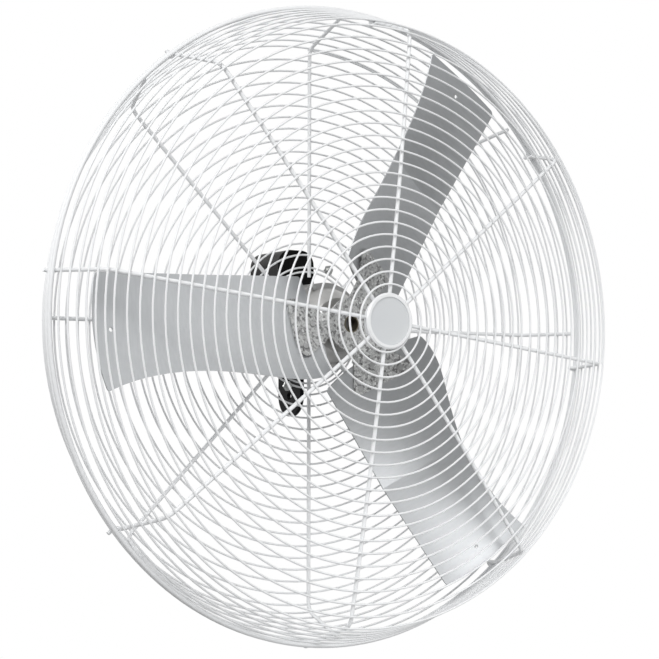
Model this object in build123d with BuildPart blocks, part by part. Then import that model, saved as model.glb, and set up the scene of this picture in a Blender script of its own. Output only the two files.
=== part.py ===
from build123d import *

import os
from math import asin, cos, dist, hypot, radians, sin, sqrt, tan

# Basket fan head: two dished wire guards joined at a double rim, a three-blade propeller
# on the shaft of a round motor, and a tongue behind it that a stand's pivot bolt passes through.
# Millimetres. The origin is the centre of the pivot hole, +Z is up and the fan blows towards -Y.

# Where the fan's axis and the rim plane lie, measured from the pivot hole
axis_height = 91.0
rim_forward = 126.5

# Wire sizes
rib_wire = 5.0
ring_wire = 2.6
rim_wire = 6.0
weld_gap = 0.25

# Fasteners are drawn with flat-sided heads and shanks
fastener_sides = 6
washer_sides = 6
head_ratio = 1.7

# Guard shape, radii and depths of the wires' centre lines; depth counts forward from the rim plane
rim_radius = 407.0
bend_radius = 376.5
front_bend_depth = 85.0
rear_bend_depth = -86.0
front_dish = 12.5
dome_bends = 3
wire_pitch = 15.3
rib_count = 8
front_rib_phase = 82.95
rear_rib_phase = 90.0
side_ring_count = 5
rim_gap = 0.3
rib_rim_gap = 0.6
bend_length = 12.0

# How finely the wires are faceted
ring_sides = 24
rim_sides = 48
spiral_thinning = 0.8
spiral_least_sides = 5

# Front guard centre and badge
front_spiral_start = 35.1
front_spiral_end_angle = -7.05
centre_plate_radius = 30.0
centre_plate_thickness = 3.0
badge_radius = 35.0
badge_height = 5.5
badge_floor = 2.5
badge_chamfer = 2.0
badge_disc_radius = 29.7
badge_disc_thickness = 1.0
badge_screw_radius = 2.5
screw_head_height = 2.5

# Hooks at the ends of the front ribs
hook_drop = 5.0
hook_reach = 8.0

# Rear guard centre
rear_rib_start = 67.0
hub_ring_radii = (74.4, 80.4)
rear_spiral_gap = 9.1
rear_spiral_end_angle = 90.0
hub_ring_sides = 16

# Motor
shell_radius = 57.0
shell_wall = 7.0
shell_front = -46.0
shell_rear = -162.0
front_bell_length = 34.0
rear_bell_length = 18.0
bell_nose_radius = 30.0
bell_wall = 5.0
bell_flange = 5.0
bell_bulge = 0.09
bell_bore_gap = 2.5
shaft_radius = 9.5
bearing_outer_radius = 21.0
bearing_width = 12.0
running_clearance = 0.05
seat_gap = 0.1
stator_bore_radius = 32.0
air_gap = 0.5
stator_length = 56.0
winding_height = 14.0
winding_outer_radius = 44.0
winding_inner_radius = 35.0
bell_screw_radius = 2.0
bell_screw_count = 4
bell_screw_phase = 22.5
bell_screw_grip = 8.0
wire_hole_radius = 5.0
wire_hole_depth = -123.0

# Ears on the shell that hold the rear guard
ear_count = 4
ear_phase = 67.5
ear_thickness = 6.0
ear_reach = 93.0
ear_half_width = 24.0
clamp_radius = 84.6
clamp_screw_radius = 2.0
clamp_washer_radius = 7.0
clamp_washer_thickness = 1.5

# Terminal box on the shell's top, an arched cover whose open rear is closed by a lid
box_width = 57.0
box_front = -114.6
box_length = 69.0
box_top = 106.0
box_wall = 2.5
box_corner = 20.0
lid_thickness = 3.0
lid_screw_radius = 1.8
lid_screw_offset = 23.0
lid_screw_height = 82.0
lid_boss_width = 7.0
lid_screw_grip = 8.0
capacitor_radius = 11.0
capacitor_length = 44.0
gland_radius = 8.0
gland_thread_radius = 5.0
gland_bore_radius = 3.5
gland_length = 16.0
gland_collar = 5.5
gland_height = 95.0

# Tongue that the stand's pivot bolt passes through
tongue_thickness = 6.0
tongue_end_radius = 27.5
pivot_hole_radius = 5.25
saddle_thickness = 4.0
saddle_half_angle = 24.0
saddle_length = 62.0
saddle_bolt_radius = 3.0
saddle_bolt_angle = 15.0
saddle_bolt_spacing = 44.0
saddle_bolt_head = 3.0
saddle_depth = -rim_forward
saddle_bolt_angles = (270.0 - saddle_bolt_angle, 270.0 + saddle_bolt_angle)

# Propeller
blade_count = 3
blade_phase = 58.4
tip_radius = 369.0
blade_thickness = 2.0
camber_radius = 380.0
leading_tip_corner = 8.0
trailing_tip_corner = 3.0
root_corner = 5.0
tip_hole_radius = 2.6
tip_hole_inset = 24.0
tip_hole_side = 28.0

# Blade outline, as distance along the blade and side; the trailing side is positive
leading_root = (64.5, -58.0)
root_middle = (48.5, 25.0)
trailing_root = (52.0, 67.0)
trailing_edge = ((310.0, 82.8), (258.0, 72.8), (200.0, 69.3), (140.0, 72.5), (100.0, 75.0))
leading_tip = -37.0
trailing_tip = 99.5

# Blade sheet at three distances from the axis: distance, pitch in degrees, centre of the chord, depth
blade_stations = (
    (40.0, 28.4, 12.0, 24.1),
    (215.0, 18.2, 12.0, 22.5),
    (380.0, 8.7, 32.0, 46.0),
)
blade_half_chord = 70.0
sheet_half_chord = 92.0

# Spider and hub; pad corners, arm edges and rivets are given as distance along the blade and side
spider_thickness = 3.0
spider_radius = 34.0
spider_depth = 15.5
arm_start = 34.0
arm_end = 48.0
arm_inner_edges = (-13.0, 20.0)
arm_outer_edges = (-15.0, 27.0)
pad_outline = ((45, -13), (80, -28), (88, -27), (90.5, -20), (89.5, 26), (87, 41), (81, 45), (75, 44), (45, 25))
rivet_places = ((83.0, -19.0), (79.0, 35.0), (60.0, 6.0))
rivet_radius = 2.5
rivet_head_radius = 4.0
rivet_head_height = 1.6
rivet_sides = 6
hub_radius = 20.0
hub_length = 24.0
hub_neck_radius = 11.0
hub_lip_height = 0.5
shaft_recess = 12.0
shaft_tail = 1.0
set_screw_radius = 3.0
set_screw_angles = (0.0, 90.0)
set_screw_depth = -1.0

# The fan's own plane: local x to the right seen from the front, local y up, local z to the front
fan = Plane(origin=(0, -rim_forward, axis_height), x_dir=(1, 0, 0), z_dir=(0, -1, 0))
spin_axis = Axis(fan.origin, fan.z_dir)


def radial_plane(angle):
    """The half plane at an angle about the fan's axis; local x is the radius, local y the depth."""
    outward = fan.x_dir * cos(radians(angle)) + fan.y_dir * sin(radians(angle))
    return Plane(origin=fan.origin, x_dir=outward, z_dir=outward.cross(fan.z_dir))


os.makedirs("parts", exist_ok=True)


def save(part, name):
    part.label = name
    export_step(part, f"parts/{name}.step")


def turned(outline):
    """A solid turned about the fan's axis from its outline of radii and depths."""
    with BuildPart() as solid:
        with BuildSketch(radial_plane(90)):
            with BuildLine():
                Polyline(*outline, close=True)
            make_face()
        revolve(axis=spin_axis)
    return solid.part


def facet_ring(radius, wire, sides, phase, depth):
    """A closed wire ring with straight facets, its corners on the given radius."""
    with BuildPart() as ring:
        with BuildSketch(fan.offset(depth - wire / 2)):
            RegularPolygon(radius + wire / 2, sides, rotation=phase)
            RegularPolygon(radius - wire / 2, sides, rotation=phase, mode=Mode.SUBTRACT)
        extrude(amount=wire)
    return ring.part


def half_turn_count(start_radius):
    """How many half turns of wire fit between a start radius and the bend ring."""
    return round(2 * (spiral_end_radius - start_radius) / wire_pitch)


def spiral_wire(name, start_radius, end_angle, winding, depth_at, step):
    """A wire winding outwards to the bend ring, anticlockwise seen from the front where winding is 1 and
    clockwise where it is -1. It is flat over each step of so many half turns."""
    half_turns = half_turn_count(start_radius)
    growth = (spiral_end_radius - start_radius) / half_turns
    start_angle = end_angle - winding * 180 * half_turns
    pieces = []
    edges = []
    for first in range(0, half_turns, step):
        inner = []
        outer = []
        for index in range(first, min(first + step, half_turns)):
            radius = start_radius + growth * index
            sides = round(ring_sides / 2 * ((radius + growth) / bend_radius) ** spiral_thinning)
            sides = max(sides, spiral_least_sides)
            for side in range(0 if index == first else 1, sides + 1):
                angle = radians(start_angle + winding * 180 * (index + side / sides))
                centre = radius + growth * side / sides
                inner.append(((centre - ring_wire / 2) * cos(angle), (centre - ring_wire / 2) * sin(angle)))
                outer.append(((centre + ring_wire / 2) * cos(angle), (centre + ring_wire / 2) * sin(angle)))
                edges.append((index + side / sides, inner[-1], outer[-1]))
        pieces.append((start_radius + growth * (first + step / 2), inner + outer[::-1]))
    middles = [
        ((turn + after) / 2, ((a[0] + b[0]) / 2, (a[1] + b[1]) / 2), outer_point)
        for (turn, a, outer_point), (after, b, _) in zip(edges, edges[1:])
    ]
    gaps = [
        dist(outer_point, inner_point)
        for turn, _, outer_point in edges
        for other, inner_point, _ in edges + middles
        if 1 < other - turn < 3
    ]
    print(f"{name}: least gap from turn to turn {min(gaps):.2f} mm")
    with BuildPart() as wire:
        for radius, outline in pieces:
            with BuildSketch(fan.offset(depth_at(radius) - ring_wire / 2)):
                with BuildLine():
                    Polyline(*outline, close=True)
                make_face()
            extrude(amount=ring_wire)
    save(wire.part, name)


def rib_set(route, phase):
    """Equal ribs about the axis, each a square-edged wire bent along a route of radii and depths."""
    ribs = []
    for index in range(rib_count):
        plane = radial_plane(phase + 360 * index / rib_count)
        with BuildPart() as rib:
            with BuildLine(plane) as path:
                Polyline(*route)
            with BuildSketch(Plane(path.line @ 0, x_dir=plane.z_dir, z_dir=path.line % 0)):
                Rectangle(rib_wire, rib_wire)
            sweep(path=path.line, transition=Transition.RIGHT)
        ribs.append(rib.part)
    return ribs


def front_depth(radius):
    """Depth of the front face wires' centres on the shallow dome."""
    return front_bend_depth + front_dish * (1 - (radius / bend_radius) ** 2)


def rear_depth(radius):
    return rear_bend_depth


def side_line(bend_depth, rim_depth, share):
    """A point on the straight side between the bend and the rim ring."""
    radius = bend_radius + (rim_radius - bend_radius) * share
    return radius, bend_depth + (rim_depth - bend_depth) * share


front_rim_depth = (rim_wire + rim_gap) / 2
rear_rim_depth = -front_rim_depth
rib_sink = (ring_wire + rib_wire) / 2 + weld_gap
dome_step = front_dish * wire_pitch / (2 * bend_radius)
front_rib_sink = rib_sink + dome_step
spiral_end_radius = bend_radius - ring_wire - weld_gap


def rib_side(bend_depth, rim_depth):
    """The straight line inside the side rings that a rib's centre follows."""
    rise = rim_radius - bend_radius
    run = abs(bend_depth - rim_depth)
    length = hypot(rise, run)
    corner_reach = ring_wire / 2 * (run + rise) / length
    facet_drop = rib_wire / 2 * tan(radians(180 / ring_sides))
    offset = corner_reach + facet_drop + weld_gap + rib_wire / 2
    inward = offset * length / run
    slope = rise / run
    return inward, slope


def rib_bend(bend_depth, rim_depth, face_depth):
    """The two corners of a rib's bend between the face and the side."""
    inward, slope = rib_side(bend_depth, rim_depth)
    drop = abs(bend_depth - face_depth)
    corner = bend_radius - inward + slope * drop
    towards_rim = 1 if rim_depth > bend_depth else -1
    cut = bend_length / sqrt(1 + slope * slope)
    return (corner - bend_length, face_depth), (corner + slope * cut, face_depth + towards_rim * cut)


# Front guard; each rib bends at the places where its route touches the dome
front_face_depth = front_bend_depth - rib_sink
_, front_slope = rib_side(front_bend_depth, front_rim_depth)
rim_inside = rim_radius - rim_wire / 2 - rib_rim_gap - rib_wire / 2
(bend_start, _), front_bend_b = rib_bend(front_bend_depth, front_rim_depth, front_face_depth)
hook_depth = rear_rim_depth - rim_wire / 2 - hook_drop
side_end_depth = front_bend_b[1] - (rim_inside - front_bend_b[0]) / front_slope
rib_start = centre_plate_radius / 2
dome_run = bend_start - rib_start
dome_radii = [rib_start + dome_run * index / dome_bends for index in range(dome_bends + 1)]
front_route = (
    *[(radius, front_depth(radius) - front_rib_sink) for radius in dome_radii],
    front_bend_b,
    (rim_inside, side_end_depth),
    (rim_inside, hook_depth),
    (rim_inside + hook_reach, hook_depth),
)
save(Compound(children=rib_set(front_route, front_rib_phase)), "front_ribs")
plate_front = front_depth(centre_plate_radius) - front_rib_sink - rib_wire / 2 - weld_gap
plate_back = plate_front - centre_plate_thickness
badge_screw_hole = badge_screw_radius + running_clearance
save(
    turned(
        (
            (badge_screw_hole, plate_back),
            (centre_plate_radius, plate_back),
            (centre_plate_radius, plate_front),
            (badge_screw_hole, plate_front),
        )
    ),
    "centre_plate",
)

spiral_wire("front_spiral", front_spiral_start, front_spiral_end_angle, -1, front_depth, 1)


def side_rings(bend_depth, rim_depth, phase):
    """The bend ring and the rings on the straight side of one guard."""
    rings = []
    for index in range(side_ring_count + 1):
        radius, depth = side_line(bend_depth, rim_depth, index / (side_ring_count + 1))
        rings.append(facet_ring(radius, ring_wire, ring_sides, phase, depth))
    return Compound(children=rings)


save(side_rings(front_bend_depth, front_rim_depth, front_rib_phase), "front_side_rings")
save(facet_ring(rim_radius, rim_wire, rim_sides, rear_rib_phase, front_rim_depth), "front_rim_ring")

# Badge: a plain domed cap on the front guard's centre with a bare disc let into it
badge_back = front_depth(0) - front_rib_sink + rib_wire / 2 + seat_gap
badge_skirt = front_depth(centre_plate_radius) + ring_wire / 2 + seat_gap
badge_front = badge_back + badge_height
badge_outline = (
    (badge_screw_hole, badge_back),
    (centre_plate_radius, badge_back),
    (centre_plate_radius, badge_skirt),
    (badge_radius, badge_skirt),
    (badge_radius, badge_front - badge_chamfer),
    (badge_radius - badge_chamfer, badge_front),
    (badge_disc_radius + seat_gap, badge_front),
    (badge_disc_radius + seat_gap, badge_front - badge_floor),
    (badge_screw_hole, badge_front - badge_floor),
)
save(turned(badge_outline), "badge_cap")
disc_back = badge_front - badge_floor + seat_gap
badge_disc_outline = (
    (0, disc_back),
    (badge_disc_radius, disc_back),
    (badge_disc_radius, disc_back + badge_disc_thickness),
    (0, disc_back + badge_disc_thickness),
)
save(turned(badge_disc_outline), "badge_disc")
screw_head_back = plate_back - seat_gap - screw_head_height
badge_screw_outline = (
    (0, screw_head_back),
    (head_ratio * badge_screw_radius, screw_head_back),
    (head_ratio * badge_screw_radius, plate_back - seat_gap),
    (badge_screw_radius, plate_back - seat_gap),
    (badge_screw_radius, badge_front - badge_floor),
    (0, badge_front - badge_floor),
)
save(turned(badge_screw_outline), "badge_screw")

# Rear guard
rear_face_depth = rear_bend_depth + rib_sink
rear_bend_a, rear_bend_b = rib_bend(rear_bend_depth, rear_rim_depth, rear_face_depth)
_, rear_slope = rib_side(rear_bend_depth, rear_rim_depth)
rear_side_end = rear_bend_b[1] + (rim_inside - rear_bend_b[0]) / rear_slope
rear_route = (
    (rear_rib_start, rear_face_depth),
    rear_bend_a,
    rear_bend_b,
    (rim_inside, rear_side_end),
)
save(Compound(children=rib_set(rear_route, rear_rib_phase)), "rear_ribs")
rear_spiral_start = hub_ring_radii[-1] + rear_spiral_gap
rear_half_turns = half_turn_count(rear_spiral_start)
spiral_wire("rear_spiral", rear_spiral_start, rear_spiral_end_angle, 1, rear_depth, rear_half_turns)
save(side_rings(rear_bend_depth, rear_rim_depth, rear_rib_phase), "rear_side_rings")
save(facet_ring(rim_radius, rim_wire, rim_sides, rear_rib_phase, rear_rim_depth), "rear_rim_ring")
hub_rings = [
    facet_ring(radius, ring_wire, hub_ring_sides, rear_rib_phase, rear_bend_depth)
    for radius in hub_ring_radii
]
save(Compound(children=hub_rings), "rear_hub_rings")

# Motor shell: a tube with four ears that the rear guard's hub rings are clamped to
shell_inside = shell_radius - shell_wall
ear_front = rear_bend_depth - ring_wire / 2 - seat_gap
clamp_front = rear_bend_depth + ring_wire / 2 + seat_gap
bell_screw_circle = shell_radius - shell_wall / 2
ear_angles = [ear_phase + 360 * index / ear_count for index in range(ear_count)]
with BuildPart() as motor_shell:
    with BuildSketch(fan.offset(shell_rear)):
        Circle(shell_radius)
    extrude(amount=shell_front - shell_rear)
    with BuildSketch(fan.offset(ear_front)):
        for angle in ear_angles:
            with Locations(Rot(0, 0, angle)):
                with BuildLine():
                    Polyline(
                        (shell_inside, -ear_half_width),
                        (clamp_radius, -clamp_washer_radius),
                        (ear_reach, -clamp_washer_radius / 2),
                        (ear_reach, clamp_washer_radius / 2),
                        (clamp_radius, clamp_washer_radius),
                        (shell_inside, ear_half_width),
                        close=True,
                    )
                make_face()
    extrude(amount=-ear_thickness)
    with BuildSketch(fan.offset(shell_rear)):
        Circle(shell_inside)
    extrude(amount=shell_front - shell_rear, mode=Mode.SUBTRACT)
    with BuildSketch(fan.offset(ear_front)):
        with PolarLocations(clamp_radius, ear_count, ear_phase):
            RegularPolygon(clamp_screw_radius + running_clearance, fastener_sides)
    extrude(amount=-ear_thickness, mode=Mode.SUBTRACT)
    for depth, direction in ((shell_front, -1), (shell_rear, 1)):
        with BuildSketch(fan.offset(depth)):
            with PolarLocations(bell_screw_circle, bell_screw_count, bell_screw_phase):
                RegularPolygon(bell_screw_radius + running_clearance, fastener_sides)
        extrude(amount=direction * bell_screw_grip, mode=Mode.SUBTRACT)
    with BuildSketch(Plane(fan.origin, x_dir=fan.x_dir, z_dir=fan.y_dir)):
        with Locations((0, -wire_hole_depth)):
            Circle(wire_hole_radius)
    extrude(amount=shell_radius, mode=Mode.SUBTRACT)
    for angle in saddle_bolt_angles:
        outward = radial_plane(angle)
        with BuildSketch(Plane(fan.origin, x_dir=fan.z_dir, z_dir=outward.x_dir)):
            for shift in (-1, 1):
                with Locations((saddle_depth + shift * saddle_bolt_spacing / 2, 0)):
                    RegularPolygon(saddle_bolt_radius + running_clearance, fastener_sides)
        extrude(amount=shell_radius, mode=Mode.SUBTRACT)
save(motor_shell.part, "motor_shell")


def prism_screws(planes, head_radius, head_height, shank_radius, shank_length):
    """Hexagon-headed screws, the underside of each head on its plane and the shank behind it."""
    screws = []
    for plane in planes:
        with BuildPart() as screw:
            with BuildSketch(plane):
                RegularPolygon(head_radius, fastener_sides)
            extrude(amount=head_height)
            with BuildSketch(plane):
                RegularPolygon(shank_radius, fastener_sides)
            extrude(amount=-shank_length)
        screws.append(screw.part)
    return Compound(children=screws)


def circle_planes(radius, count, phase, depth, facing):
    """Planes on a circle about the fan's axis that face the front or the rear."""
    planes = []
    for index in range(count):
        spoke = radial_plane(phase + 360 * index / count)
        origin = spoke.origin + spoke.x_dir * radius + fan.z_dir * depth
        planes.append(Plane(origin, x_dir=spoke.x_dir, z_dir=fan.z_dir * facing))
    return planes


# Clamps that hold the hub rings against the ears
washers = []
for plane in circle_planes(clamp_radius, ear_count, ear_phase, clamp_front, 1):
    with BuildPart() as washer:
        with BuildSketch(plane):
            RegularPolygon(clamp_washer_radius, washer_sides)
            RegularPolygon(clamp_screw_radius + running_clearance, fastener_sides, mode=Mode.SUBTRACT)
        extrude(amount=clamp_washer_thickness)
    washers.append(washer.part)
save(Compound(children=washers), "guard_clamp_washers")
clamp_head = clamp_front + clamp_washer_thickness + running_clearance
clamp_grip = clamp_head - ear_front + ear_thickness
clamp_planes = circle_planes(clamp_radius, ear_count, ear_phase, clamp_head, 1)
save(
    prism_screws(clamp_planes, head_ratio * clamp_screw_radius, screw_head_height, clamp_screw_radius, clamp_grip),
    "guard_clamp_screws",
)


def end_bell(joint_depth, length, facing):
    """A cast end cover with a bearing pocket; facing is 1 at the front and -1 at the rear."""
    end = joint_depth + facing * length
    inside = end - facing * bell_wall
    flange = joint_depth + facing * bell_flange
    pocket = inside - facing * bearing_width
    near = joint_depth + facing * running_clearance
    spigot = joint_depth - facing * bell_wall
    bore = shaft_radius + bell_bore_gap if facing > 0 else 0
    nose_radius = bell_nose_radius + bell_wall
    dome_start = (shell_inside - seat_gap, flange)
    crown = bell_bulge * (length - bell_flange)
    dome_middle = ((shell_inside + nose_radius) / 2 + crown, (flange + end) / 2 + facing * crown)
    with BuildPart() as bell:
        with BuildSketch(radial_plane(90)):
            with BuildLine():
                ThreePointArc(dome_start, dome_middle, (nose_radius, end))
                Polyline(
                    (nose_radius, end),
                    (bore, end),
                    (bore, inside),
                    (bearing_outer_radius + running_clearance, inside),
                    (bearing_outer_radius + running_clearance, pocket),
                    (bearing_outer_radius + bell_wall, pocket),
                    (shell_inside - bell_wall, spigot),
                    (shell_inside - seat_gap, spigot),
                    (shell_inside - seat_gap, near),
                    (shell_radius, near),
                    (shell_radius, flange),
                    dome_start,
                )
            make_face()
        revolve(axis=spin_axis)
        with BuildSketch(fan.offset(end)):
            with PolarLocations(bell_screw_circle, bell_screw_count, bell_screw_phase):
                RegularPolygon(bell_screw_radius + running_clearance, fastener_sides)
        extrude(amount=-facing * length, mode=Mode.SUBTRACT)
    return bell.part


bell_screw_shank = bell_flange + bell_screw_grip - seat_gap
for name, joint_depth, length, facing in (
    ("front", shell_front, front_bell_length, 1),
    ("rear", shell_rear, rear_bell_length, -1),
):
    save(end_bell(joint_depth, length, facing), f"{name}_end_bell")
    seat = joint_depth + facing * (bell_flange + running_clearance)
    planes = circle_planes(bell_screw_circle, bell_screw_count, bell_screw_phase, seat, facing)
    screws = prism_screws(
        planes, head_ratio * bell_screw_radius, screw_head_height, bell_screw_radius, bell_screw_shank
    )
    save(screws, f"{name}_bell_screws")
    inside = joint_depth + facing * (length - bell_wall - running_clearance)
    far = inside - facing * (bearing_width - running_clearance)
    save(
        turned(
            (
                (shaft_radius + running_clearance, inside),
                (bearing_outer_radius, inside),
                (bearing_outer_radius, far),
                (shaft_radius + running_clearance, far),
            )
        ),
        f"{name}_bearing",
    )

# Stator, windings and rotor
stator_centre = (shell_front + shell_rear) / 2
stator_front = stator_centre + stator_length / 2
stator_rear = stator_centre - stator_length / 2


def tube(outer, inner, rear, front):
    return turned(((inner, rear), (outer, rear), (outer, front), (inner, front)))


save(tube(shell_inside - seat_gap, stator_bore_radius, stator_rear, stator_front), "stator_core")
windings = [
    tube(winding_outer_radius, winding_inner_radius, stator_front, stator_front + winding_height),
    tube(winding_outer_radius, winding_inner_radius, stator_rear - winding_height, stator_rear),
]
save(Compound(children=windings), "stator_windings")
rotor_bore = shaft_radius + running_clearance
save(tube(stator_bore_radius - air_gap, rotor_bore, stator_rear, stator_front), "rotor_core")

# Terminal box on the shell's top: the arched cover, its lid at the rear, screws, capacitor and cable gland
box_floor = shell_radius + seat_gap
box_rear = box_front - box_length


def arch(width, height, corner, floor):
    """The box's section seen from the front: rounded above and resting on the shell."""
    with BuildSketch() as section:
        with Locations((0, height / 2)):
            Rectangle(width, height)
        fillet(section.vertices().group_by(Axis.Y)[-1], corner)
        Circle(floor, mode=Mode.SUBTRACT)
    return section.sketch


box_arch = arch(box_width, box_top, box_corner, box_floor)
pocket_arch = arch(box_width - 2 * box_wall, box_top - box_wall, box_corner - box_wall, box_floor + box_wall)
lid_screw_places = [(side * lid_screw_offset, lid_screw_height) for side in (-1, 1)]
with BuildPart() as terminal_box:
    with BuildSketch(fan.offset(box_rear)):
        add(box_arch)
    extrude(amount=box_length)
    with BuildSketch(fan.offset(box_rear)):
        add(pocket_arch)
        with Locations(*lid_screw_places):
            Rectangle(lid_boss_width, lid_boss_width, mode=Mode.SUBTRACT)
    extrude(amount=box_length - box_wall, mode=Mode.SUBTRACT)
    with BuildSketch(fan.offset(box_rear)):
        with Locations(*lid_screw_places):
            RegularPolygon(lid_screw_radius + running_clearance, fastener_sides)
    extrude(amount=lid_screw_grip, mode=Mode.SUBTRACT)
    with BuildSketch(Plane(fan.origin, x_dir=fan.x_dir, z_dir=fan.y_dir)):
        with Locations((0, -wire_hole_depth)):
            Circle(wire_hole_radius)
    extrude(amount=box_floor + 2 * box_wall, mode=Mode.SUBTRACT)
save(terminal_box.part, "terminal_box")

lid_front = box_rear - running_clearance
lid_rear = lid_front - lid_thickness
with BuildPart() as terminal_lid:
    with BuildSketch(fan.offset(lid_front)):
        add(box_arch)
        with Locations(*lid_screw_places):
            RegularPolygon(lid_screw_radius + running_clearance, fastener_sides, mode=Mode.SUBTRACT)
        with Locations((0, gland_height)):
            Circle(gland_thread_radius + running_clearance, mode=Mode.SUBTRACT)
    extrude(amount=-lid_thickness)
save(terminal_lid.part, "terminal_box_lid")
lid_planes = [
    Plane(
        fan.origin + fan.z_dir * (lid_rear - running_clearance) + fan.x_dir * across + fan.y_dir * height,
        x_dir=fan.x_dir,
        z_dir=-fan.z_dir,
    )
    for across, height in lid_screw_places
]
lid_shank = lid_thickness + lid_screw_grip - seat_gap
save(
    prism_screws(lid_planes, head_ratio * lid_screw_radius, screw_head_height, lid_screw_radius, lid_shank),
    "terminal_box_screws",
)

capacitor_height = box_floor + box_wall + seat_gap + capacitor_radius
with BuildPart() as capacitor:
    with BuildSketch(fan.offset(box_front - box_wall - (box_length - capacitor_length) / 2)):
        with Locations((0, capacitor_height)):
            Circle(capacitor_radius)
    extrude(amount=-capacitor_length)
save(capacitor.part, "run_capacitor")

gland_seat = lid_rear - running_clearance
with BuildPart() as gland:
    with BuildSketch(fan.offset(gland_seat)):
        with Locations((0, gland_height)):
            RegularPolygon(gland_radius, fastener_sides)
    extrude(amount=-gland_collar)
    with BuildSketch(fan.offset(lid_front)):
        with Locations((0, gland_height)):
            Circle(gland_thread_radius)
    extrude(amount=-gland_length)
    with BuildSketch(fan.offset(lid_front)):
        with Locations((0, gland_height)):
            Circle(gland_bore_radius)
    extrude(amount=-gland_length, mode=Mode.SUBTRACT)
save(gland.part, "cable_gland")

# Tilt bracket: a saddle bolted under the shell and the tongue with the pivot hole
saddle_inside = shell_radius + seat_gap
saddle_outside = saddle_inside + saddle_thickness
saddle_ends = [radians(270 - saddle_half_angle), radians(270 + saddle_half_angle)]
inner_ends = [(saddle_inside * cos(end), saddle_inside * sin(end)) for end in saddle_ends]
outer_ends = [(saddle_outside * cos(end), saddle_outside * sin(end)) for end in saddle_ends]
tongue_top = axis_height - saddle_inside - saddle_thickness / 2
with BuildPart() as tilt_bracket:
    with BuildSketch(fan.offset(saddle_depth + saddle_length / 2)):
        with BuildLine():
            ThreePointArc(inner_ends[0], (0, -saddle_inside), inner_ends[1])
            Line(inner_ends[1], outer_ends[1])
            ThreePointArc(outer_ends[1], (0, -saddle_outside), outer_ends[0])
            Line(outer_ends[0], inner_ends[0])
        make_face()
    extrude(amount=-saddle_length)
    with BuildSketch(Plane.YZ.offset(-tongue_thickness / 2)):
        with BuildLine():
            Line((-tongue_end_radius, tongue_top), (-tongue_end_radius, 0))
            ThreePointArc((-tongue_end_radius, 0), (0, -tongue_end_radius), (tongue_end_radius, 0))
            Line((tongue_end_radius, 0), (tongue_end_radius, tongue_top))
            Line((tongue_end_radius, tongue_top), (-tongue_end_radius, tongue_top))
        make_face()
        Circle(pivot_hole_radius, mode=Mode.SUBTRACT)
    extrude(amount=tongue_thickness)
    for angle in saddle_bolt_angles:
        outward = radial_plane(angle)
        with BuildSketch(Plane(fan.origin, x_dir=fan.z_dir, z_dir=outward.x_dir)):
            for shift in (-1, 1):
                with Locations((saddle_depth + shift * saddle_bolt_spacing / 2, 0)):
                    RegularPolygon(saddle_bolt_radius + running_clearance, fastener_sides)
        extrude(amount=2 * shell_radius, mode=Mode.SUBTRACT)
save(tilt_bracket.part, "tilt_bracket")
bolt_planes = []
for angle in saddle_bolt_angles:
    outward = radial_plane(angle)
    for shift in (-1, 1):
        place = fan.z_dir * (saddle_depth + shift * saddle_bolt_spacing / 2)
        origin = fan.origin + place + outward.x_dir * (saddle_outside + seat_gap)
        bolt_planes.append(Plane(origin, x_dir=fan.z_dir, z_dir=outward.x_dir))
bolt_shank = saddle_thickness + shell_wall
save(
    prism_screws(bolt_planes, head_ratio * saddle_bolt_radius, saddle_bolt_head, saddle_bolt_radius, bolt_shank),
    "tilt_bracket_bolts",
)

# Propeller, drawn with a blade along x and the front towards z, then placed on the fan's axis
blade_angles = [blade_phase + 360 * index / blade_count for index in range(blade_count)]
blade_bow = sqrt(camber_radius**2 - blade_half_chord**2)
sheet_half_angle = asin(sheet_half_chord / camber_radius)
through = 5 * blade_thickness
sheet_height = 2 * tip_radius


def blade_station(distance):
    """Slope, and the camber circle's centre as side and depth, at a distance from the fan's axis."""
    for near, far in zip(blade_stations, blade_stations[1:]):
        share = (distance - near[0]) / (far[0] - near[0])
        if distance <= far[0]:
            break
    _, pitch, chord_side, chord_depth = (a + (b - a) * share for a, b in zip(near, far))
    slope = radians(pitch)
    return slope, chord_side - sin(slope) * blade_bow, chord_depth + cos(slope) * blade_bow


def sheet_section(distance, lift, thickness):
    """A slice of the cambered sheet; lift raises it from the blade's middle towards the front."""
    slope, side, depth = blade_station(distance)
    turns = [slope + part * sheet_half_angle for part in (-1, 0, 1)]
    rear = camber_radius - lift + thickness / 2
    front = camber_radius - lift - thickness / 2
    rear_points = [(side + rear * sin(turn), depth - rear * cos(turn)) for turn in turns]
    front_points = [(side + front * sin(turn), depth - front * cos(turn)) for turn in turns]
    with BuildSketch(Plane.YZ.offset(distance)) as section:
        with BuildLine():
            ThreePointArc(*rear_points)
            Line(rear_points[2], front_points[2])
            ThreePointArc(*front_points[::-1])
            Line(front_points[0], rear_points[0])
        make_face()
    return section.sketch


def sheet_depth(distance, side):
    _, centre_side, centre_depth = blade_station(distance)
    return centre_depth - sqrt(camber_radius**2 - (side - centre_side) ** 2)


def blade_tangent(distance, side, lift):
    """The plane that touches the sheet at one place, raised by lift and facing the front."""
    along_rise = (sheet_depth(distance + 1, side) - sheet_depth(distance - 1, side)) / 2
    across_rise = (sheet_depth(distance, side + 1) - sheet_depth(distance, side - 1)) / 2
    normal = Vector(-along_rise, -across_rise, 1).normalized()
    origin = Vector(distance, side, sheet_depth(distance, side)) + normal * lift
    return Plane(origin, x_dir=(1, 0, along_rise), z_dir=normal)


def cambered_sheet(distances, lift, thickness):
    """The twisted sheet before its outline is cut, lofted from slice to slice."""
    with BuildPart() as sheet:
        for distance in distances:
            add(sheet_section(distance, lift, thickness))
        loft(ruled=True)
    return sheet.part


def on_fan(part, angle=0):
    return fan.location * Rot(0, 0, angle) * part


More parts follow.
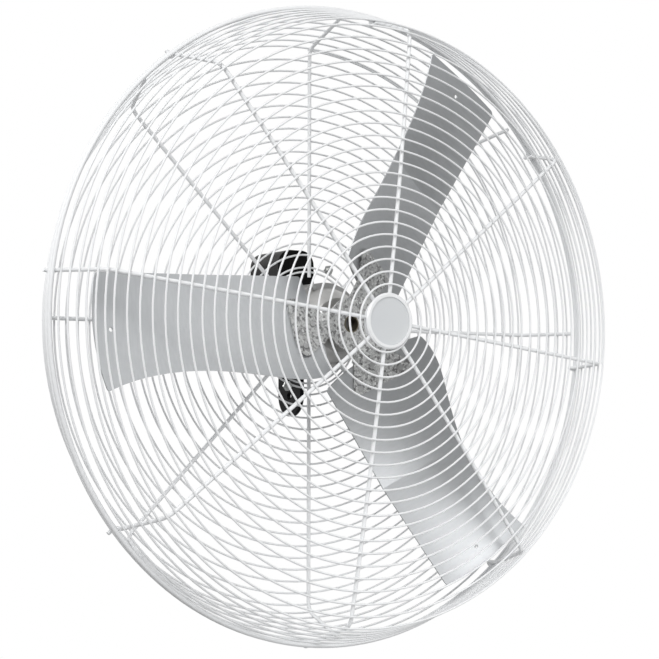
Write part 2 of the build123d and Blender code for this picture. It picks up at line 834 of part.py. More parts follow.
station_distances = [station[0] for station in blade_stations]
blade_sheet = cambered_sheet(station_distances, 0, blade_thickness)
tip_leading = (sqrt(tip_radius**2 - leading_tip**2), leading_tip)
tip_trailing = (sqrt(tip_radius**2 - trailing_tip**2), trailing_tip)
with BuildPart() as blade:
    with BuildSketch(Plane.XY.offset(-sheet_height / 2)):
        with BuildLine():
            Line(leading_root, tip_leading)
            ThreePointArc(tip_leading, (tip_radius, 0), tip_trailing)
            Spline(tip_trailing, *trailing_edge, trailing_root)
            ThreePointArc(trailing_root, root_middle, leading_root)
        make_face()
        fillet(vertices().sort_by(Axis.X)[:2], root_corner)
        fillet(vertices().sort_by(Axis.X)[-2], trailing_tip_corner)
        fillet(vertices().sort_by(Axis.X)[-1], leading_tip_corner)
    extrude(amount=sheet_height)
    add(blade_sheet, mode=Mode.INTERSECT)
    for distance, side in rivet_places:
        with BuildSketch(blade_tangent(distance, side, -through)):
            RegularPolygon(rivet_radius + running_clearance, rivet_sides)
        extrude(amount=2 * through, mode=Mode.SUBTRACT)
    with BuildSketch(blade_tangent(tip_radius - tip_hole_inset, tip_hole_side, -through)):
        Circle(tip_hole_radius)
    extrude(amount=2 * through, mode=Mode.SUBTRACT)
for index, angle in enumerate(blade_angles):
    save(on_fan(blade.part, angle), f"blade_{index + 1}")

# Spider: a pressed disc with three arms whose pads follow the blades' front faces
pad_lift = (blade_thickness + spider_thickness) / 2 + running_clearance
pad_sheet = cambered_sheet(station_distances[:2], pad_lift, spider_thickness)
with BuildPart() as pad:
    with BuildSketch(Plane.XY.offset(-sheet_height / 2)):
        with BuildLine():
            Polyline(*pad_outline, close=True)
        make_face()
    extrude(amount=sheet_height)
    add(pad_sheet, mode=Mode.INTERSECT)
arm_inner_width = arm_inner_edges[1] - arm_inner_edges[0]
arm_outer_width = arm_outer_edges[1] - arm_outer_edges[0]
arm_plane = blade_tangent(arm_end, sum(arm_outer_edges) / 2, pad_lift)
arm_slope = Vector(0, arm_plane.y_dir.Y, arm_plane.y_dir.Z).normalized()
with BuildPart() as arm:
    with BuildSketch(Plane((arm_start, sum(arm_inner_edges) / 2, spider_depth), x_dir=(0, 1, 0), z_dir=(1, 0, 0))):
        Rectangle(arm_inner_width, spider_thickness)
    with BuildSketch(Plane(arm_plane.origin, x_dir=arm_slope, z_dir=(1, 0, 0))):
        Rectangle(arm_outer_width / arm_slope.Y, spider_thickness)
    loft(ruled=True)
with BuildPart() as spider:
    with BuildSketch(Plane.XY.offset(spider_depth - spider_thickness / 2)):
        Circle(spider_radius)
        with PolarLocations(0, blade_count, blade_phase):
            with Locations((arm_start / 2, sum(arm_inner_edges) / 2)):
                Rectangle(arm_start, arm_inner_width)
    extrude(amount=spider_thickness)
    with PolarLocations(0, blade_count, blade_phase):
        add(arm.part)
        add(pad.part)
    with BuildSketch(Plane.XY):
        Circle(hub_neck_radius + running_clearance)
    extrude(amount=sheet_height, mode=Mode.SUBTRACT)
    for angle in blade_angles:
        for distance, side in rivet_places:
            tangent = blade_tangent(distance, side, pad_lift - through)
            with BuildSketch(Plane(Rot(0, 0, angle) * tangent.location)):
                RegularPolygon(rivet_radius + running_clearance, rivet_sides)
            extrude(amount=2 * through, mode=Mode.SUBTRACT)
save(on_fan(spider.part), "spider")

# Rivets through the pads and blades
rivet_front = pad_lift + spider_thickness / 2 + running_clearance
rivet_rear = -blade_thickness / 2 - running_clearance
rivets = []
for angle in blade_angles:
    for distance, side in rivet_places:
        with BuildPart() as rivet:
            with BuildSketch(blade_tangent(distance, side, rivet_front)):
                RegularPolygon(rivet_head_radius, rivet_sides)
            extrude(amount=rivet_head_height)
            with BuildSketch(blade_tangent(distance, side, rivet_rear)):
                RegularPolygon(rivet_radius, rivet_sides)
            extrude(amount=rivet_front - rivet_rear)
            with BuildSketch(blade_tangent(distance, side, rivet_rear)):
                RegularPolygon(rivet_head_radius, rivet_sides)
            extrude(amount=-rivet_head_height)
        rivets.append(on_fan(rivet.part, angle))
save(Compound(children=rivets), "blade_rivets")

# Hub boss: its neck passes through the spider and stands out in front of it
hub_bore = shaft_radius + running_clearance
hub_shoulder = spider_depth - spider_thickness / 2 - running_clearance
hub_rear = hub_shoulder - hub_length
lip_front = spider_depth + spider_thickness / 2 + hub_lip_height
with BuildPart() as hub:
    add(
        turned(
            (
                (hub_bore, hub_rear),
                (hub_radius, hub_rear),
                (hub_radius, hub_shoulder),
                (hub_neck_radius, hub_shoulder),
                (hub_neck_radius, lip_front),
                (hub_bore, lip_front),
            )
        )
    )
    for angle in set_screw_angles:
        outward = radial_plane(blade_phase + angle)
        origin = fan.origin + fan.z_dir * set_screw_depth
        with BuildSketch(Plane(origin, x_dir=fan.z_dir, z_dir=outward.x_dir)):
            RegularPolygon(set_screw_radius + running_clearance, fastener_sides)
        extrude(amount=hub_radius, mode=Mode.SUBTRACT)
save(hub.part, "hub_boss")
set_screws = []
for angle in set_screw_angles:
    outward = radial_plane(blade_phase + angle)
    origin = fan.origin + fan.z_dir * set_screw_depth + outward.x_dir * (shaft_radius + seat_gap)
    with BuildPart() as set_screw:
        with BuildSketch(Plane(origin, x_dir=fan.z_dir, z_dir=outward.x_dir)):
            RegularPolygon(set_screw_radius, fastener_sides)
        extrude(amount=hub_radius - shaft_radius - 2 * seat_gap)
    set_screws.append(set_screw.part)
save(Compound(children=set_screws), "hub_set_screws")

# Motor shaft
shaft_front = lip_front - shaft_recess
shaft_rear = shell_rear - rear_bell_length + bell_wall + shaft_tail
save(
    turned(((0, shaft_rear), (shaft_radius, shaft_rear), (shaft_radius, shaft_front), (0, shaft_front))),
    "motor_shaft",
)
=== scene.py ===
from math import cos, hypot, pi, radians, sin, tan

import bpy
from mathutils import Matrix, Vector


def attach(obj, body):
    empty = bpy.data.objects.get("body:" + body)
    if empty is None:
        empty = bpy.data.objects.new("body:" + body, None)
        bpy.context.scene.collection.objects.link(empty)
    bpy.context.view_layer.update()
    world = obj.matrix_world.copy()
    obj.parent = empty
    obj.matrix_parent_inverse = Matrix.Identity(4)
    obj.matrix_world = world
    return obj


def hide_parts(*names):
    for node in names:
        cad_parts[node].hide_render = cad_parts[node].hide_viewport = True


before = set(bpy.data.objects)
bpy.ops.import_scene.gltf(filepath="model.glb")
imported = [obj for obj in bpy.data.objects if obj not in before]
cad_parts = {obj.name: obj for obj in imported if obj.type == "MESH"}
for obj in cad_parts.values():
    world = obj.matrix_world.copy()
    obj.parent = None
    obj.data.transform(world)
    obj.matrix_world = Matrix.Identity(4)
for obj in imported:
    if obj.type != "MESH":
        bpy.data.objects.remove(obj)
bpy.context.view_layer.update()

# Motor shell and end covers
# A thick steel tube with one flat ear behind the rear guard's hub rings, closed by two cast covers.
# All three are sprayed the same grey, which gathers in a fine orange peel over the castings.
cloud_detail = 6.0
tint_span = (0.3, 0.7)
peel_grain = 900.0
peel_height = 0.0003
plain_shine = 0.5


def new_finish(name, metal):
    """A new material, with its nodes, its links and its shader."""
    material = bpy.data.materials.new(name)
    material.use_nodes = True
    nodes = material.node_tree.nodes
    shader = nodes["Principled BSDF"]
    shader.inputs["Metallic"].default_value = metal
    return material, nodes, material.node_tree.links, shader


def cloud_pattern(nodes, scale, detail):
    noise = nodes.new("ShaderNodeTexNoise")
    noise.inputs["Scale"].default_value = scale
    noise.inputs["Detail"].default_value = detail
    return noise


def tint_between(nodes, span, colour, second):
    """Runs from one colour to the other over a span of its input."""
    tint = nodes.new("ShaderNodeValToRGB")
    for element, position, shade in zip(tint.color_ramp.elements, span, (colour, second)):
        element.position = position
        element.color = (*shade, 1.0)
    return tint


def value_between(nodes, low, high):
    """Spreads a value from 0 to 1 over the range from low to high."""
    spread = nodes.new("ShaderNodeMapRange")
    spread.inputs["To Min"].default_value = low
    spread.inputs["To Max"].default_value = high
    return spread


def fine_relief(nodes, strength, height):
    bump = nodes.new("ShaderNodeBump")
    bump.inputs["Strength"].default_value = strength
    bump.inputs["Distance"].default_value = height
    return bump


def coated(name, colour, second, grain, roughness, spread, metal, relief, shine=plain_shine):
    """A finish whose colour, roughness and fine relief wander over the surface."""
    material, nodes, links, shader = new_finish(name, metal)
    shader.inputs["Specular IOR Level"].default_value = shine
    place = nodes.new("ShaderNodeTexCoord")
    clouds = cloud_pattern(nodes, grain, cloud_detail)
    links.new(place.outputs["Object"], clouds.inputs["Vector"])
    tint = tint_between(nodes, tint_span, colour, second)
    links.new(clouds.outputs["Fac"], tint.inputs["Fac"])
    links.new(tint.outputs["Color"], shader.inputs["Base Color"])
    gloss = value_between(nodes, roughness - spread, roughness + spread)
    links.new(clouds.outputs["Fac"], gloss.inputs["Value"])
    links.new(gloss.outputs["Result"], shader.inputs["Roughness"])
    peel = nodes.new("ShaderNodeTexNoise")
    peel.inputs["Scale"].default_value = peel_grain
    links.new(place.outputs["Object"], peel.inputs["Vector"])
    bump = fine_relief(nodes, relief, peel_height)
    links.new(peel.outputs["Fac"], bump.inputs["Height"])
    links.new(bump.outputs["Normal"], shader.inputs["Normal"])
    return material


def dress(material, *names):
    """Gives CAD nodes that stay in view their finish."""
    for name in names:
        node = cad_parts[name]
        node.data.materials.clear()
        node.data.materials.append(material)


motor_paint = coated(
    "motor_grey_paint",
    colour=(0.58, 0.575, 0.565),
    second=(0.47, 0.465, 0.455),
    grain=30.0,
    roughness=0.36,
    spread=0.05,
    metal=0.7,
    relief=0.3,
)
dress(motor_paint, "motor_shell", "front_end_bell", "rear_end_bell")

# Inside the motor
# Laminated stator and rotor on the ground steel shaft, varnished copper windings and two bearings.
# They sit behind the covers, and only the shaft's front end shows through the spider.
bare_steel = coated(
    "ground_steel",
    colour=(0.10, 0.10, 0.10),
    second=(0.14, 0.14, 0.13),
    grain=60.0,
    roughness=0.32,
    spread=0.06,
    metal=1.0,
    relief=0.1,
)
dress(bare_steel, "motor_shaft", "stator_core", "rotor_core", "front_bearing", "rear_bearing")
winding_copper = coated(
    "varnished_copper",
    colour=(0.45, 0.20, 0.10),
    second=(0.55, 0.27, 0.14),
    grain=120.0,
    roughness=0.35,
    spread=0.1,
    metal=0.8,
    relief=0.5,
)
dress(winding_copper, "stator_windings")

# Screws, bolts and washers
# Zinc-plated steel, bright with a faint yellow cast: cover screws, saddle bolts, lid screws, guard
# clamps, the badge's screw and the hub's set screws.
zinc = coated(
    "zinc_plate",
    colour=(0.60, 0.60, 0.58),
    second=(0.50, 0.51, 0.51),
    grain=200.0,
    roughness=0.34,
    spread=0.08,
    metal=1.0,
    relief=0.15,
)
dress(zinc, "front_bell_screws", "rear_bell_screws", "tilt_bracket_bolts", "terminal_box_screws")
dress(zinc, "guard_clamp_screws", "guard_clamp_washers", "badge_screw", "hub_set_screws")

# Terminal box
# A moulded black arch on the motor's top, its open rear closed by a lid that holds the cable gland,
# with the run capacitor inside. The moulding has a fine spark texture.
black_shine = 0.08
box_black = coated(
    "moulded_black",
    colour=(0.005, 0.005, 0.005),
    second=(0.009, 0.009, 0.009),
    grain=90.0,
    roughness=0.40,
    spread=0.06,
    metal=0.0,
    relief=0.5,
    shine=black_shine,
)
dress(box_black, "terminal_box", "terminal_box_lid", "run_capacitor", "cable_gland")

# Tilt bracket
# A saddle bolted under the motor with the round-ended tongue that the stand's pivot bolt passes
# through. Pressed steel with a smooth black powder coat.
bracket_black = coated(
    "bracket_black",
    colour=(0.004, 0.004, 0.005),
    second=(0.007, 0.007, 0.008),
    grain=70.0,
    roughness=0.30,
    spread=0.06,
    metal=0.0,
    relief=0.3,
    shine=black_shine,
)
dress(bracket_black, "tilt_bracket")

# Hub boss and spider
# The spider is pressed from galvanised sheet: a disc with three arms whose pads carry the blades.
# Its zinc coat has the mottled grey crystals of hot dipping. The turned hub boss holds it.
galvanised_metal = 0.7
crystal_scale = 340.0
crystal_span = (0.22, 0.5)
crystal_dark = (0.22, 0.22, 0.22)
crystal_pale = (0.56, 0.565, 0.56)
crystal_middle = (0.5, 0.5, 0.5)
crystal_gloss = (0.28, 0.5)
crystal_relief = 1.0
crystal_tilt = 0.4
vein_scale = 150.0
vein_width = 0.1
vein_shade = 0.7
warp_scale = 240.0
warp_detail = 4.0
warp_share = 0.006
galvanised, zinc_nodes, zinc_links, zinc_shader = new_finish("galvanised_sheet", galvanised_metal)
zinc_place = zinc_nodes.new("ShaderNodeTexCoord")
zinc_warp = cloud_pattern(zinc_nodes, warp_scale, warp_detail)
zinc_shift = zinc_nodes.new("ShaderNodeMixRGB")
zinc_shift.blend_type = "ADD"
zinc_shift.inputs["Fac"].default_value = warp_share
zinc_crystal = zinc_nodes.new("ShaderNodeTexVoronoi")
zinc_crystal.inputs["Scale"].default_value = crystal_scale
zinc_vein = zinc_nodes.new("ShaderNodeTexVoronoi")
zinc_vein.feature = "DISTANCE_TO_EDGE"
zinc_vein.inputs["Scale"].default_value = vein_scale
zinc_tint = tint_between(zinc_nodes, crystal_span, crystal_dark, crystal_pale)
zinc_line = value_between(zinc_nodes, vein_shade, 1.0)
zinc_line.inputs["From Max"].default_value = vein_width
zinc_colour = zinc_nodes.new("ShaderNodeMixRGB")
zinc_colour.blend_type = "MULTIPLY"
zinc_colour.inputs["Fac"].default_value = 1.0
zinc_gloss = value_between(zinc_nodes, *crystal_gloss)
zinc_across = zinc_nodes.new("ShaderNodeVectorMath")
zinc_across.operation = "SUBTRACT"
zinc_lean = zinc_nodes.new("ShaderNodeVectorMath")
zinc_lean.operation = "SUBTRACT"
zinc_lean.inputs[1].default_value = crystal_middle
zinc_facet = zinc_nodes.new("ShaderNodeVectorMath")
zinc_facet.operation = "DOT_PRODUCT"
zinc_bump = fine_relief(zinc_nodes, crystal_relief, crystal_tilt)
zinc_links.new(zinc_place.outputs["Object"], zinc_warp.inputs["Vector"])
zinc_links.new(zinc_place.outputs["Object"], zinc_shift.inputs["Color1"])
zinc_links.new(zinc_warp.outputs["Color"], zinc_shift.inputs["Color2"])
zinc_links.new(zinc_shift.outputs["Color"], zinc_crystal.inputs["Vector"])
zinc_links.new(zinc_shift.outputs["Color"], zinc_vein.inputs["Vector"])
zinc_links.new(zinc_crystal.outputs["Color"], zinc_tint.inputs["Fac"])
zinc_links.new(zinc_vein.outputs["Distance"], zinc_line.inputs["Value"])
zinc_links.new(zinc_tint.outputs["Color"], zinc_colour.inputs["Color1"])
zinc_links.new(zinc_line.outputs["Result"], zinc_colour.inputs["Color2"])
zinc_links.new(zinc_colour.outputs["Color"], zinc_shader.inputs["Base Color"])
zinc_links.new(zinc_crystal.outputs["Color"], zinc_gloss.inputs["Value"])
zinc_links.new(zinc_gloss.outputs["Result"], zinc_shader.inputs["Roughness"])
zinc_links.new(zinc_shift.outputs["Color"], zinc_across.inputs[0])
zinc_links.new(zinc_crystal.outputs["Position"], zinc_across.inputs[1])
zinc_links.new(zinc_crystal.outputs["Color"], zinc_lean.inputs[0])
zinc_links.new(zinc_across.outputs["Vector"], zinc_facet.inputs[0])
zinc_links.new(zinc_lean.outputs["Vector"], zinc_facet.inputs[1])
zinc_links.new(zinc_facet.outputs["Value"], zinc_bump.inputs["Height"])
zinc_links.new(zinc_bump.outputs["Normal"], zinc_shader.inputs["Normal"])
dress(galvanised, "spider")
hub_steel = coated(
    "oiled_hub_steel",
    colour=(0.11, 0.10, 0.07),
    second=(0.16, 0.14, 0.10),
    grain=150.0,
    roughness=0.4,
    spread=0.08,
    metal=0.8,
    relief=0.3,
)
dress(hub_steel, "hub_boss")

# Blades
# Three blades cut from 2 mm aluminium sheet, twisted and bowed, riveted behind the spider's pads.
# The sheet keeps its satin rolled surface, with faint streaks that run across each blade.
blade_phase = 58.4
blade_count = 3
streak_stretch = (300.0, 300.0, 6.0)
streak_detail = 4.0
streak_gloss = (0.28, 0.38)
streak_relief = 0.05
streak_height = 0.0002
sheet_metal = 0.85
sheet_dark = (0.41, 0.42, 0.43)
sheet_pale = (0.445, 0.455, 0.465)
rivet_metal = coated(
    "rivet_aluminium",
    colour=(0.34, 0.34, 0.34),
    second=(0.42, 0.42, 0.42),
    grain=300.0,
    roughness=0.40,
    spread=0.06,
    metal=0.8,
    relief=0.6,
)
dress(rivet_metal, "blade_rivets")
for index in range(blade_count):
    sheet_name = f"rolled_aluminium_{index + 1}"
    blade_metal, sheet_nodes, sheet_links, sheet_shader = new_finish(sheet_name, sheet_metal)
    sheet_place = sheet_nodes.new("ShaderNodeTexCoord")
    sheet_along = sheet_nodes.new("ShaderNodeMapping")
    blade_angle = radians(blade_phase + 360 / blade_count * index)
    sheet_along.inputs["Rotation"].default_value = (0.0, blade_angle, 0.0)
    sheet_stretch = sheet_nodes.new("ShaderNodeMapping")
    sheet_stretch.inputs["Scale"].default_value = streak_stretch
    sheet_streaks = cloud_pattern(sheet_nodes, 1.0, streak_detail)
    sheet_tint = tint_between(sheet_nodes, tint_span, sheet_dark, sheet_pale)
    sheet_gloss = value_between(sheet_nodes, *streak_gloss)
    sheet_bump = fine_relief(sheet_nodes, streak_relief, streak_height)
    sheet_links.new(sheet_place.outputs["Object"], sheet_along.inputs["Vector"])
    sheet_links.new(sheet_along.outputs["Vector"], sheet_stretch.inputs["Vector"])
    sheet_links.new(sheet_stretch.outputs["Vector"], sheet_streaks.inputs["Vector"])
    sheet_links.new(sheet_streaks.outputs["Fac"], sheet_tint.inputs["Fac"])
    sheet_links.new(sheet_tint.outputs["Color"], sheet_shader.inputs["Base Color"])
    sheet_links.new(sheet_streaks.outputs["Fac"], sheet_gloss.inputs["Value"])
    sheet_links.new(sheet_gloss.outputs["Result"], sheet_shader.inputs["Roughness"])
    sheet_links.new(sheet_streaks.outputs["Fac"], sheet_bump.inputs["Height"])
    sheet_links.new(sheet_bump.outputs["Normal"], sheet_shader.inputs["Normal"])
    dress(blade_metal, f"blade_{index + 1}")

# Rear guard
# Round wires, resistance-welded where they cross, then powder-coated white. Eight ribs run from the
# hub rings out over the rear face, bend round the edge and end inside the thick rim ring.
rim_y = -0.1265
axis_z = 0.091
rib_radius = 0.0025
ring_radius = 0.0013
rim_wire_radius = 0.003
rim_circle = 0.407
bend_circle = 0.3765
hub_circles = (0.0744, 0.0804)
rear_rib_start = 0.067
rear_spiral_start = 0.0895
rear_bend_depth = -0.086
rear_rim_depth = -0.00315
rear_rib_phase = 90.0
weld_sink = 0.0001
wire_pitch = 0.0153
side_rings = 5
rib_count = 8
face_bend = 0.017
fan_axis = (0, 1, 0)
fan_centre = Vector((0, rim_y, axis_z))
# Sides of the wires' sections, and steps of their bends, rings and half turns
rib_sides = 12
ring_sides = 10
spiral_sides = 8
bend_steps = 6
side_ring_steps = 144
rim_ring_steps = 180
hub_ring_steps = 72
half_turn_least_steps = 16
half_turn_more_steps = 60
smooth_angle = radians(50)
merge_distance = 0.00005
white_coat = coated(
    "white_powder_coat",
    colour=(0.91, 0.92, 0.93),
    second=(0.88, 0.89, 0.90),
    grain=25.0,
    roughness=0.34,
    spread=0.06,
    metal=0.0,
    relief=0.25,
)


def wire_start(wire_radius, sides, place, heading):
    """One round section of wire, square to its heading, left open and selected in edit mode."""
    bpy.ops.object.select_all(action="DESELECT")
    turn = Vector(heading).to_track_quat("Z", "Y").to_euler()
    bpy.ops.mesh.primitive_circle_add(vertices=sides, radius=wire_radius, location=place, rotation=turn)
    bpy.ops.object.transform_apply(location=True, rotation=True, scale=True)
    bpy.ops.object.mode_set(mode="EDIT")
    bpy.ops.mesh.select_all(action="SELECT")


def wire_end(name, closed):
    """Closes the wire's ends, or joins them where it is a ring, and names it."""
    bpy.ops.mesh.select_all(action="SELECT")
    if closed:
        bpy.ops.mesh.remove_doubles(threshold=merge_distance)
    else:
        bpy.ops.mesh.fill_holes(sides=0)
    bpy.ops.mesh.normals_make_consistent(inside=False)
    bpy.ops.object.mode_set(mode="OBJECT")
    wire = bpy.context.object
    wire.name = name
    bpy.ops.object.shade_smooth_by_angle(angle=smooth_angle)
    wire.data.materials.append(white_coat)
    return wire


def wire_ring(name, wire_radius, circle, depth, steps):
    """A closed ring of wire round the fan's axis; depth counts forward from the rim plane."""
    place = fan_centre + Vector((circle, -depth, 0))
    wire_start(wire_radius, ring_sides, place, (0, 0, 1))
    bpy.ops.mesh.spin(steps=steps, angle=2 * pi, center=fan_centre, axis=fan_axis)
    return wire_end(name, True)


def bent_rib(name, corners):
    """A rib along corners given as radius, depth and the bend's own radius; the ends' bends aren't used."""
    points = [fan_centre + Vector((radius, -depth, 0)) for radius, depth, _ in corners]
    heading = (points[1] - points[0]).normalized()
    wire_start(rib_radius, rib_sides, points[0], heading)
    here = points[0]
    for corner, after, (_, _, bend) in zip(points[1:], points[2:], corners[1:]):
        leaving = (after - corner).normalized()
        turn = heading.angle(leaving)
        side = heading.cross(leaving).normalized()
        reach = bend * tan(turn / 2)
        bend_start = corner - heading * reach
        bpy.ops.mesh.extrude_region_move(TRANSFORM_OT_translate={"value": bend_start - here})
        centre = bend_start + side.cross(heading) * bend
        bpy.ops.mesh.spin(steps=bend_steps, angle=-turn, center=centre, axis=side)
        here = corner + leaving * reach
        heading = leaving
    bpy.ops.mesh.extrude_region_move(TRANSFORM_OT_translate={"value": points[-1] - here})
    return wire_end(name, False)


def copies_round(piece, count, first_angle):
    """Turns copies of a piece about the fan's axis, counted anticlockwise from the front, and joins them."""
    turned = []
    for index in range(count):
        copy = piece.copy()
        copy.data = piece.data.copy()
        bpy.context.collection.objects.link(copy)
        bpy.ops.object.select_all(action="DESELECT")
        copy.select_set(True)
        bpy.context.view_layer.objects.active = copy
        turn = Matrix.Rotation(-radians(first_angle + 360 / count * index), 4, "Y")
        copy.data.transform(Matrix.Translation(fan_centre) @ turn @ Matrix.Translation(-fan_centre))
        turned.append(copy)
    name = piece.name
    bpy.data.objects.remove(piece)
    return joined(turned, name)


def joined(pieces, name):
    bpy.ops.object.select_all(action="DESELECT")
    for piece in pieces:
        piece.select_set(True)
    bpy.context.view_layer.objects.active = pieces[0]
    bpy.ops.object.join()
    pieces[0].name = name
    return pieces[0]


def guard_piece(piece, *nodes):
    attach(piece, "head")
    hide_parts(*nodes)


rib_offset = rib_radius + ring_radius - weld_sink
side_rise = rim_circle - bend_circle
rear_side_run = rear_rim_depth - rear_bend_depth
rear_side_slope = side_rise / rear_side_run
rear_side_length = hypot(side_rise, rear_side_run)
rear_rib_depth = rear_bend_depth + rib_offset
rear_inward = rib_offset * rear_side_length / rear_side_run
rib_rim_circle = rim_circle - rim_wire_radius - rib_radius + weld_sink
rear_rib_edge = bend_circle - rear_inward + rear_side_slope * rib_offset
rear_rib_corners = (
    (rear_rib_start, rear_rib_depth, 0),
    (rear_rib_edge, rear_rib_depth, face_bend),
    (rib_rim_circle, rear_rib_depth + (rib_rim_circle - rear_rib_edge) / rear_side_slope, 0),
)
rear_rib = bent_rib("rear_guard_ribs", rear_rib_corners)
rear_ribs = copies_round(rear_rib, rib_count, rear_rib_phase)
guard_piece(rear_ribs, "rear_ribs")


def side_ring_set(name, bend_depth, rim_depth):
    """The bend ring and the rings down the sloping side."""
    rings = []
    for index in range(side_rings + 1):
        share = index / (side_rings + 1)
        circle = bend_circle + (rim_circle - bend_circle) * share
        depth = bend_depth + (rim_depth - bend_depth) * share
        rings.append(wire_ring(name, ring_radius, circle, depth, side_ring_steps))
    return joined(rings, name)


def rim_ring(name, depth):
    return wire_ring(name, rim_wire_radius, rim_circle, depth, rim_ring_steps)


guard_piece(side_ring_set("rear_guard_side_rings", rear_bend_depth, rear_rim_depth), "rear_side_rings")
guard_piece(rim_ring("rear_guard_rim_ring", rear_rim_depth), "rear_rim_ring")
hub_rings = []
for circle in hub_circles:
    hub_rings.append(wire_ring("hub_ring", ring_radius, circle, rear_bend_depth, hub_ring_steps))
guard_piece(joined(hub_rings, "rear_guard_hub_rings"), "rear_hub_rings")


def wire_spiral(name, start_circle, end_angle, winding, dish, bend_depth):
    """A wire wound outwards in half turns about two centres over a domed face. Seen from the front it
    winds anticlockwise where winding is 1 and clockwise where it is -1."""
    end_circle = bend_circle - 2 * ring_radius
    half_turns = round(2 * (end_circle - start_circle) / wire_pitch)
    growth = (end_circle - start_circle) / half_turns
    start = radians(end_angle) + pi * half_turns
    outward = Vector((cos(start), 0, sin(start)))
    place = fan_centre + outward * start_circle + Vector((0, -bend_depth, 0))
    wire_start(ring_radius, spiral_sides, place, Vector(fan_axis).cross(outward))
    for index in range(half_turns):
        centre = fan_centre - outward * growth / 2
        share = (start_circle + growth * index) / bend_circle
        steps = half_turn_least_steps + round(half_turn_more_steps * share)
        bpy.ops.mesh.spin(steps=steps, angle=winding * pi, center=centre, axis=fan_axis)
        outward = -outward
    spiral = wire_end(name, False)
    for vertex in spiral.data.vertices:
        radius = hypot(vertex.co.x, vertex.co.z - axis_z)
        vertex.co.y -= dish * (1 - (radius / bend_circle) ** 2)
    return spiral


rear_spiral = wire_spiral("rear_guard_spiral", rear_spiral_start, rear_rib_phase, 1, 0.0, rear_bend_depth)
guard_piece(rear_spiral, "rear_spiral")

# Front guard
# The same white wire: eight ribs that meet on a small plate, bend round the edge, pass inside both
# rim rings and hook outwards behind them. The spiral lies over the ribs on a shallow dome.
front_bend_depth = 0.085
front_rim_depth = 0.00315
front_dish = 0.0125
front_rib_phase = 82.95
front_spiral_start = 0.0351
front_spiral_end_angle = front_rib_phase - 90
hook_depth = -0.0112
hook_reach = 0.005
front_rib_start = 0.015
dome_bend = 1.0
dome_bends = 4
rim_bend = 0.0045
front_side_run = front_bend_depth - front_rim_depth
front_side_slope = side_rise / front_side_run
front_side_length = hypot(side_rise, front_side_run)
front_rib_depth = front_bend_depth - rib_offset
front_inward = rib_offset * front_side_length / front_side_run
front_rib_edge = bend_circle - front_inward + front_side_slope * rib_offset
dome_corners = []
for index in range(dome_bends):
    circle = front_rib_start + (front_rib_edge - front_rib_start) * index / dome_bends
    rise = front_dish * (1 - (circle / bend_circle) ** 2)
    dome_corners.append((circle, front_rib_depth + rise, dome_bend))
front_rib_corners = (
    *dome_corners,
    (front_rib_edge, front_rib_depth, face_bend),
    (rib_rim_circle, front_rib_depth - (rib_rim_circle - front_rib_edge) / front_side_slope, rim_bend),
    (rib_rim_circle, hook_depth, rim_bend),
    (rim_circle + hook_reach, hook_depth, 0),
)
front_rib = bent_rib("front_guard_ribs", front_rib_corners)
front_ribs = copies_round(front_rib, rib_count, front_rib_phase)
guard_piece(front_ribs, "front_ribs")
guard_piece(side_ring_set("front_guard_side_rings", front_bend_depth, front_rim_depth), "front_side_rings")
guard_piece(rim_ring("front_guard_rim_ring", front_rim_depth), "front_rim_ring")
front_spiral = wire_spiral(
    "front_guard_spiral", front_spiral_start, front_spiral_end_angle, -1, front_dish, front_bend_depth
)
guard_piece(front_spiral, "front_spiral")
dress(white_coat, "centre_plate")

# Badge
# A white moulded cap with a rounded edge on the front guard's centre. The disc let into it is pale
# grey and left bare.
badge_white = coated(
    "badge_white",
    colour=(0.90, 0.91, 0.92),
    second=(0.88, 0.89, 0.90),
    grain=40.0,
    roughness=0.25,
    spread=0.05,
    metal=0.0,
    relief=0.05,
)
badge_grey = coated(
    "badge_disc_grey",
    colour=(0.65, 0.67, 0.69),
    second=(0.69, 0.71, 0.72),
    grain=12.0,
    roughness=0.35,
    spread=0.05,
    metal=0.0,
    relief=0.05,
)
dress(badge_white, "badge_cap")
dress(badge_grey, "badge_disc")

# Floor, light and camera
# A plain pale floor in a white surround. The main soft light comes from the upper left, weaker ones
# from the upper right, the lower right and behind. The camera sees the floor fade to white further
# out, while reflections and bounced light see it darker.
floor_size = 24
floor_height = -0.75
floor_roughness = 0.9
fade_start = 0.6
fade_end = 2.2
floor_reflected = 0.45
floor_shown = 0.95
surround_diffuse = 0.37
fan_middle = (0, -0.12, 0.09)
camera_place = (-1.0893, -1.7149, -0.0162)
camera_turn = (93.0, -0.074, -33.894)
sensor_width = 36.0
lens_length = 81.94
bpy.ops.mesh.primitive_plane_add(size=floor_size, location=(0, 0, floor_height))
floor = bpy.context.object
floor.name = "floor"
floor_paint, floor_nodes, floor_links, floor_shader = new_finish("pale_floor", 0.0)
floor_shader.inputs["Roughness"].default_value = floor_roughness
floor_place = floor_nodes.new("ShaderNodeTexCoord")
floor_distance = floor_nodes.new("ShaderNodeVectorMath")
floor_distance.operation = "LENGTH"
floor_fade = floor_nodes.new("ShaderNodeMapRange")
floor_fade.inputs["From Min"].default_value = fade_start
floor_fade.inputs["From Max"].default_value = fade_end
floor_path = floor_nodes.new("ShaderNodeLightPath")
floor_tone = value_between(floor_nodes, floor_reflected, floor_shown)
floor_seen = floor_nodes.new("ShaderNodeMath")
floor_seen.operation = "MULTIPLY"
floor_white = floor_nodes.new("ShaderNodeEmission")
floor_mix = floor_nodes.new("ShaderNodeMixShader")
floor_links.new(floor_place.outputs["Object"], floor_distance.inputs[0])
floor_links.new(floor_distance.outputs["Value"], floor_fade.inputs["Value"])
floor_links.new(floor_fade.outputs["Result"], floor_seen.inputs[0])
floor_links.new(floor_path.outputs["Is Camera Ray"], floor_seen.inputs[1])
floor_links.new(floor_path.outputs["Is Camera Ray"], floor_tone.inputs["Value"])
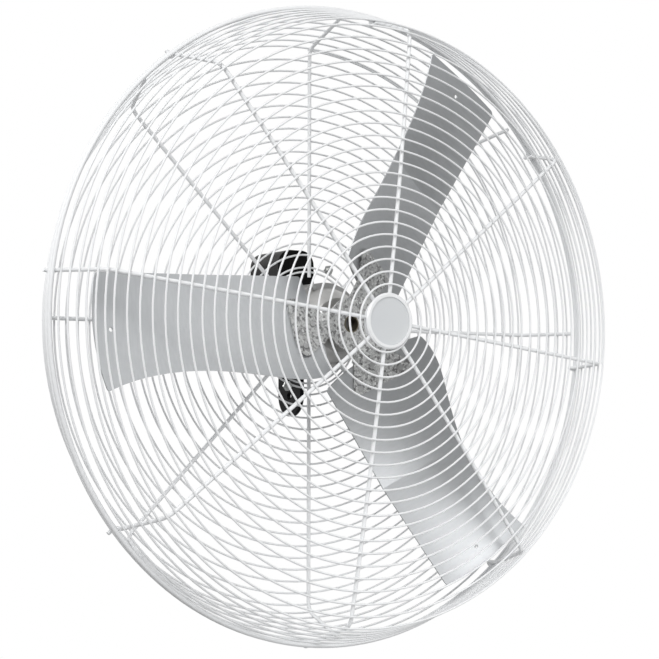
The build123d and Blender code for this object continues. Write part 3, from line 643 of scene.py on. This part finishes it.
floor_links.new(floor_tone.outputs["Result"], floor_shader.inputs["Base Color"])
floor_links.new(floor_seen.outputs["Value"], floor_mix.inputs["Fac"])
floor_links.new(floor_shader.outputs["BSDF"], floor_mix.inputs[1])
floor_links.new(floor_white.outputs["Emission"], floor_mix.inputs[2])
floor_links.new(floor_mix.outputs["Shader"], floor_nodes["Material Output"].inputs["Surface"])
floor.data.materials.append(floor_paint)

world = bpy.data.worlds.new("studio")
bpy.context.scene.world = world
world.use_nodes = True
world_nodes = world.node_tree.nodes
world_links = world.node_tree.links
surround = world_nodes["Background"]
surround.inputs["Color"].default_value = (1, 1, 1, 1)
seen_direct = world_nodes.new("ShaderNodeLightPath")
surround_strength = value_between(world_nodes, surround_diffuse, 1.0)
seen_in_metal = world_nodes.new("ShaderNodeMath")
seen_in_metal.operation = "MAXIMUM"
seen_through = world_nodes.new("ShaderNodeMath")
seen_through.operation = "MAXIMUM"
world_links.new(seen_direct.outputs["Is Camera Ray"], seen_in_metal.inputs[0])
world_links.new(seen_direct.outputs["Is Glossy Ray"], seen_in_metal.inputs[1])
world_links.new(seen_in_metal.outputs["Value"], seen_through.inputs[0])
world_links.new(seen_direct.outputs["Is Transmission Ray"], seen_through.inputs[1])
world_links.new(seen_through.outputs["Value"], surround_strength.inputs["Value"])
world_links.new(surround_strength.outputs["Result"], surround.inputs["Strength"])


def soft_lamp(name, place, aim, size, power, spread=180):
    """A square soft light turned towards a point; a spread under 180 degrees narrows its beam."""
    bpy.ops.object.light_add(type="AREA", location=place)
    lamp = bpy.context.object
    lamp.name = name
    lamp.rotation_euler = (Vector(aim) - Vector(place)).to_track_quat("-Z", "Y").to_euler()
    lamp.data.size = size
    lamp.data.energy = power
    lamp.data.spread = radians(spread)


soft_lamp("key_light", (-1.9, -2.0, 1.7), fan_middle, size=1.6, power=58)
soft_lamp("high_light", (1.6, -1.75, 1.7), fan_middle, size=2.2, power=9)
soft_lamp("low_light", (0.60, -1.2, -0.38), (0.18, -0.13, -0.18), size=0.6, power=0.8, spread=80)
soft_lamp("rear_light", (-1.5, 2.1, 1.3), (0, -0.1, 0.09), size=1.8, power=22)

bpy.ops.object.camera_add(location=camera_place)
camera = bpy.context.object
camera.rotation_euler = [radians(angle) for angle in camera_turn]
camera.data.sensor_width = sensor_width
camera.data.lens = lens_length
bpy.context.scene.camera = camera
bpy.context.scene.view_settings.view_transform = "Standard"
